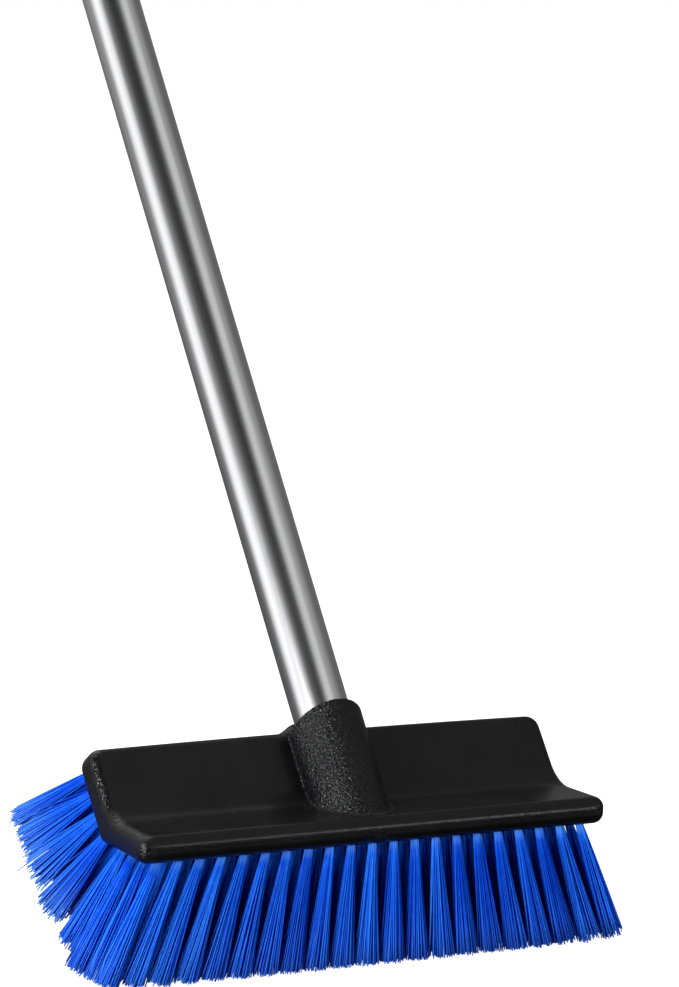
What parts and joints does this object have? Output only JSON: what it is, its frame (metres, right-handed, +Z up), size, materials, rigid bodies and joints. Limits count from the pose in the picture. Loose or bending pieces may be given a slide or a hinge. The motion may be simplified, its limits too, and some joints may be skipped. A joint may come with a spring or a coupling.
{
  "type": "scrub brush",
  "caption": "Angled black scrub brush block with fanned blue bristle tufts on both outer faces, screwed onto a bright telescoping tube handle with twist lock, grip and hanging tab.",
  "frame": {"origin": "the trimmed tip face of the middle tuft of the second flange row, on the floor the flange's bristles stand on", "axes": "+X along the block, +Y back towards the side the handle leans to, +Z up"},
  "size_m": [0.2964, 0.5536, 0.7639],
  "materials": {
    "block": "fine grained moulded plastic, satin",
    "bristle": "drawn polymer bristle, glossy along its length",
    "steel": "bright drawn wire",
    "tube": "bright drawn tube",
    "fitting": "satin moulded plastic",
    "inner": "natural moulded plastic",
    "grip": "soft matt rubber"
  },
  "bodies": {
    "head": {"block": "block", "flange_tufts_1": "bristle", "flange_tufts_2": "bristle", "flange_tufts_3": "bristle", "flange_tufts_4": "bristle", "panel_tufts_1": "bristle", "panel_tufts_2": "bristle", "panel_tufts_3": "bristle", "panel_tufts_4": "bristle", "flange_anchors": "steel", "panel_anchors": "steel"},
    "washer": {"thrust_washer": "inner"},
    "lower_pole": {"tip_plug": "fitting", "tip_rivet": "steel", "lower_tube": "tube", "lock_collar": "fitting", "collet": "inner"},
    "nut": {"lock_nut": "fitting"},
    "upper_pole": {"upper_tube": "tube", "guide_bush": "inner", "grip": "grip", "end_cap": "fitting"}
  },
  "joints": [
    {"name": "handle_lift", "type": "slide", "parent": "head", "child": "washer", "axis": [0, 0.6018, 0.7986], "range_m": [0, 0.0204]},
    {"name": "handle_screw", "type": "hinge", "parent": "washer", "child": "lower_pole", "pos_m": [0, 0.04735, 0.11878], "axis": [0, 0.6018, 0.7986], "range_deg": [0, 1440]},
    {"name": "nut_turn", "type": "hinge", "parent": "lower_pole", "child": "nut", "pos_m": [0, 0.40844, 0.59796], "axis": [0, 0.6018, 0.7986], "range_deg": [0, 120]},
    {"name": "pole_slide", "type": "slide", "parent": "lower_pole", "child": "upper_pole", "axis": [0, 0.6018, 0.7986], "range_m": [0, 0.43]}
  ],
  "couplings": [
    {"joint": "handle_lift", "follows": "handle_screw", "m_per_rad": 0.00080851}
  ]
}
